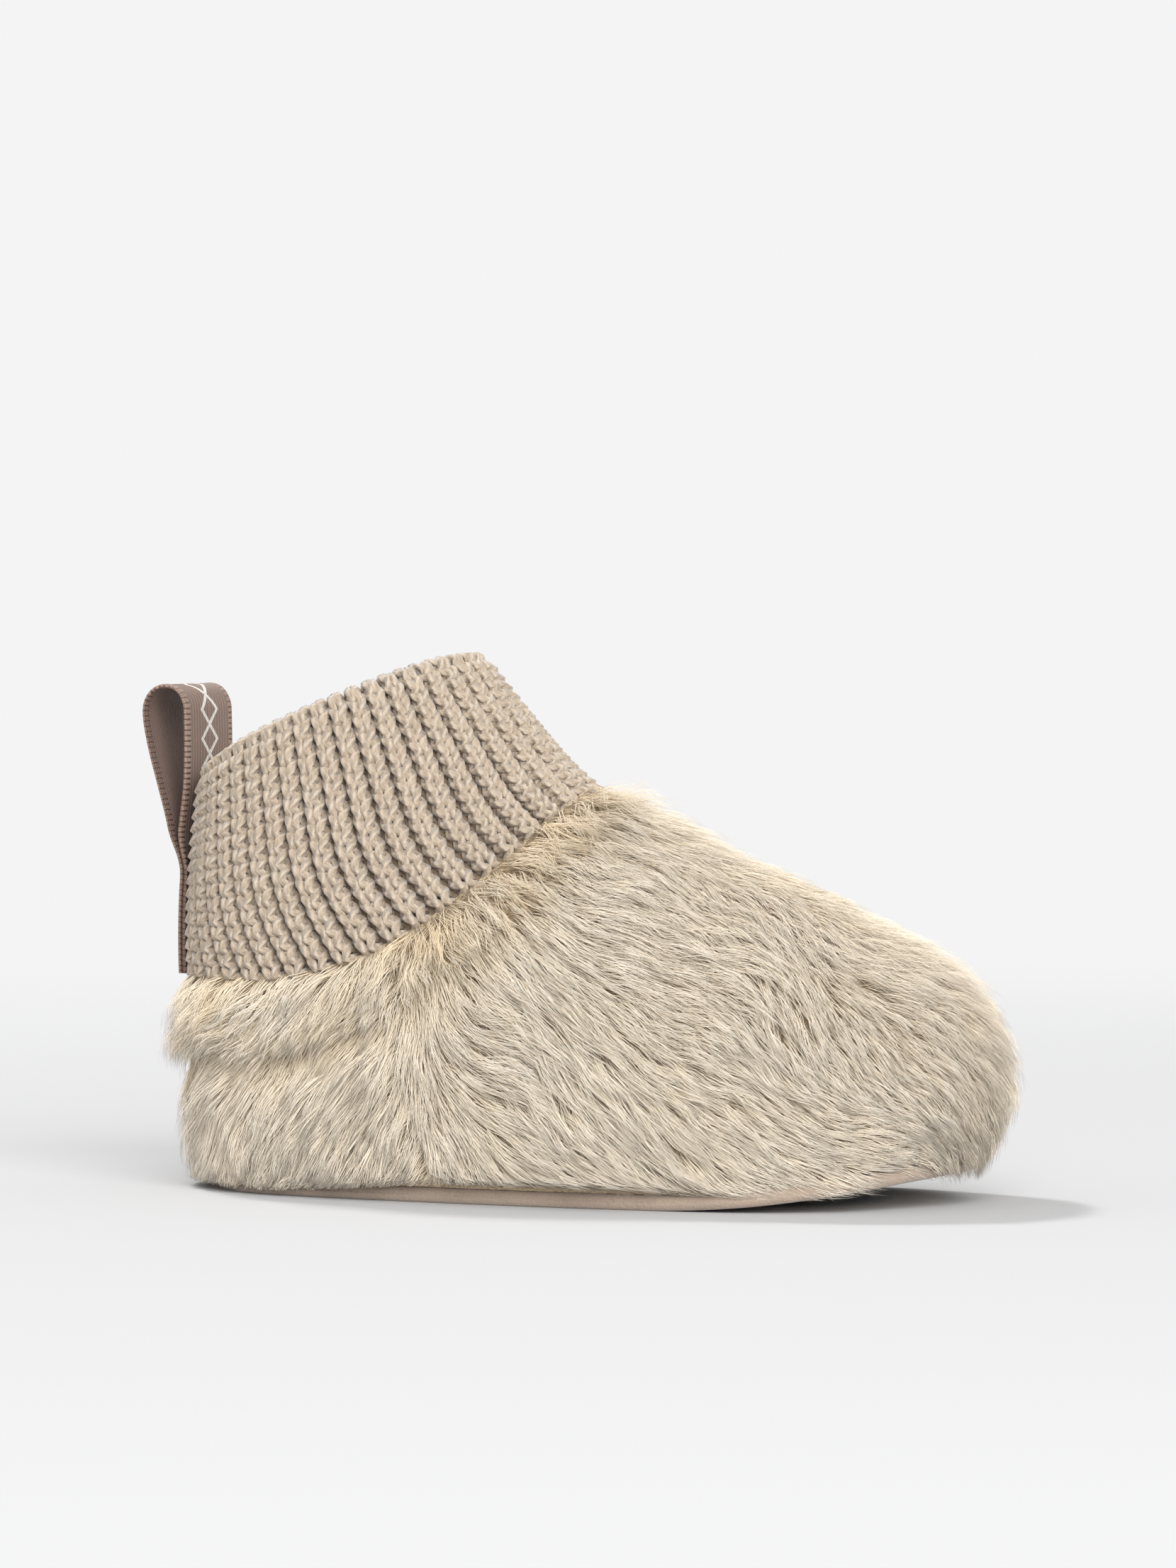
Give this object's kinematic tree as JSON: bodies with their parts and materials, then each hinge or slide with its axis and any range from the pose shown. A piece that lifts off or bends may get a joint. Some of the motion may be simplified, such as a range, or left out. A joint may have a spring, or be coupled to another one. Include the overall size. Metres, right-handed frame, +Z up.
{
  "type": "baby bootie",
  "caption": "Soft infant bootie with a plush fur upper, a folded rib-knit ankle cuff, a suede sole and a woven ribbon pull loop at the heel.",
  "frame": {"origin": "on the flat underside of the sole, on the bootie's centre line, under the middle of the foot", "axes": "+X towards the toe, +Y to the wearer's left, +Z up"},
  "size_m": [0.1316, 0.0604, 0.0784],
  "materials": {
    "suede": "napped suede, tan",
    "foam": "soft open foam sheet",
    "fleece": "short curly fleece",
    "fur": "long soft pile, laid down, cream",
    "wadding": "polyester wadding",
    "felt": "soft needled felt",
    "knit": "rib knit in a plump two-ply yarn, beige",
    "ribbon": "woven ribbon, taupe and white",
    "ribbon_thread": "polyester thread",
    "label": "woven satin, blank",
    "sole_thread": "polyester thread",
    "upper_thread": "polyester thread"
  },
  "bodies": {
    "bootie": {"outsole": "suede", "sole_foam": "foam", "insole_fleece": "fleece", "vamp_fur": "fur", "quarter_fur_left": "fur", "quarter_fur_right": "fur", "vamp_wadding": "wadding", "heel_stiffener": "felt", "vamp_lining": "fleece", "quarter_lining_left": "fleece", "quarter_lining_right": "fleece", "knit_cuff": "knit", "loop_tail": "ribbon", "loop_bartack": "ribbon_thread", "inner_label": "label", "sole_stitches": "sole_thread", "side_stitches_left": "upper_thread", "side_stitches_right": "upper_thread", "back_stitches": "upper_thread", "topline_stitches": "upper_thread"},
    "pull_loop": {"pull_loop": "ribbon"}
  },
  "joints": [
    {"name": "pull_loop_swing", "type": "hinge", "parent": "bootie", "child": "pull_loop", "pos_m": [-0.06275, 0, 0.0496], "axis": [0, 1, 0], "range_deg": [-100, 0], "stiffness_Nm_per_rad": 0.002}
  ]
}
